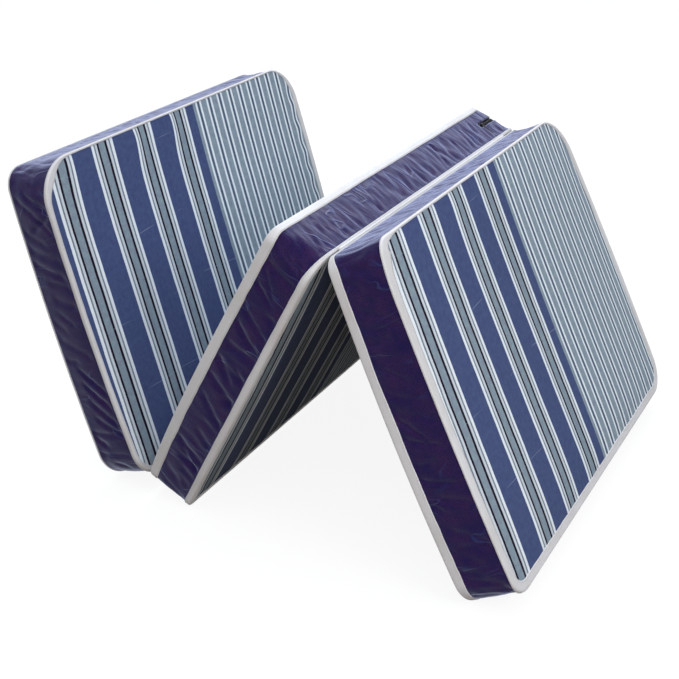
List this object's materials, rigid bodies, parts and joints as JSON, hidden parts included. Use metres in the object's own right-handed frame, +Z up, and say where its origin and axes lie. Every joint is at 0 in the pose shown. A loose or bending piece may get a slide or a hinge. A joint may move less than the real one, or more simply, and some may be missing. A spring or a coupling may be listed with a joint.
{
  "type": "folding futon mattress",
  "caption": "Folding foam futon mattress in striped ticking with an indigo band and white binding, standing as a zigzag.",
  "frame": {"origin": "centre of the footprint of the bounding box, on the floor", "axes": "+X across the zigzag from the left section to the right one, +Y along the folds to the zipped ends, +Z up"},
  "size_m": [1.0314, 0.857, 0.6287],
  "materials": {
    "foam": "open cell foam",
    "ticking": "matt striped weave",
    "band_cloth": "smooth, slight sheen",
    "binding_tape": "satin weave",
    "zip_cloth": "matt weave",
    "zip_nylon": "satin",
    "zip_metal": "black enamel"
  },
  "bodies": {
    "left_section": {"left_foam_core": "foam", "left_face_panel": "ticking", "left_back_panel": "ticking", "left_border_band": "band_cloth", "left_face_binding": "binding_tape", "left_back_binding": "binding_tape", "left_zip_tape_face_side": "zip_cloth", "left_zip_tape_back_side": "zip_cloth", "left_zip_coil": "zip_nylon", "left_zip_top_stop": "zip_metal", "left_zip_bottom_stop": "zip_metal"},
    "middle_section": {"middle_foam_core": "foam", "middle_face_panel": "ticking", "middle_back_panel": "ticking", "middle_border_band": "band_cloth", "middle_face_binding": "binding_tape", "middle_back_binding": "binding_tape", "middle_zip_tape_face_side": "zip_cloth", "middle_zip_tape_back_side": "zip_cloth", "middle_zip_coil": "zip_nylon", "middle_zip_top_stop": "zip_metal", "middle_zip_bottom_stop": "zip_metal", "lower_fold_strip": "binding_tape", "upper_fold_strip": "binding_tape"},
    "right_section": {"right_foam_core": "foam", "right_face_panel": "ticking", "right_back_panel": "ticking", "right_border_band": "band_cloth", "right_face_binding": "binding_tape", "right_back_binding": "binding_tape", "right_zip_tape_face_side": "zip_cloth", "right_zip_tape_back_side": "zip_cloth", "right_zip_coil": "zip_nylon", "right_zip_top_stop": "zip_metal", "right_zip_bottom_stop": "zip_metal"},
    "left_slider": {"left_zip_slider": "zip_metal"},
    "left_puller": {"left_zip_puller": "zip_metal"},
    "middle_slider": {"middle_zip_slider": "zip_metal"},
    "middle_puller": {"middle_zip_puller": "zip_metal"},
    "right_slider": {"right_zip_slider": "zip_metal"},
    "right_puller": {"right_zip_puller": "zip_metal"}
  },
  "joints": [
    {"name": "lower_fold", "type": "hinge", "parent": "middle_section", "child": "left_section", "pos_m": [-0.2449, 0, 0.02525], "axis": [0, 1, 0], "range_deg": [-136, 40.5]},
    {"name": "upper_fold", "type": "hinge", "parent": "middle_section", "child": "right_section", "pos_m": [0.14106, 0, 0.55777], "axis": [0, 1, 0], "range_deg": [-125, 51.5]},
    {"name": "left_zip_slide", "type": "slide", "parent": "left_section", "child": "left_slider", "axis": [0, 1, 0], "range_m": [0, 0.022]},
    {"name": "left_puller_swing", "type": "hinge", "parent": "left_slider", "child": "left_puller", "pos_m": [-0.29175, 0.336, 0.01159], "axis": [0, -1, 0], "range_deg": [0, 185]},
    {"name": "middle_zip_slide", "type": "slide", "parent": "middle_section", "child": "middle_slider", "axis": [0, 1, 0], "range_m": [0, 0.022]},
    {"name": "middle_puller_swing", "type": "hinge", "parent": "middle_slider", "child": "middle_puller", "pos_m": [0.09764, 0.336, 0.58005], "axis": [0, -1, 0], "range_deg": [0, 185]},
    {"name": "right_zip_slide", "type": "slide", "parent": "right_section", "child": "right_slider", "axis": [0, 1, 0], "range_m": [0, 0.022]},
    {"name": "right_puller_swing", "type": "hinge", "parent": "right_slider", "child": "right_puller", "pos_m": [0.47496, 0.336, 0.01966], "axis": [0, -1, 0], "range_deg": [0, 185]}
  ]
}
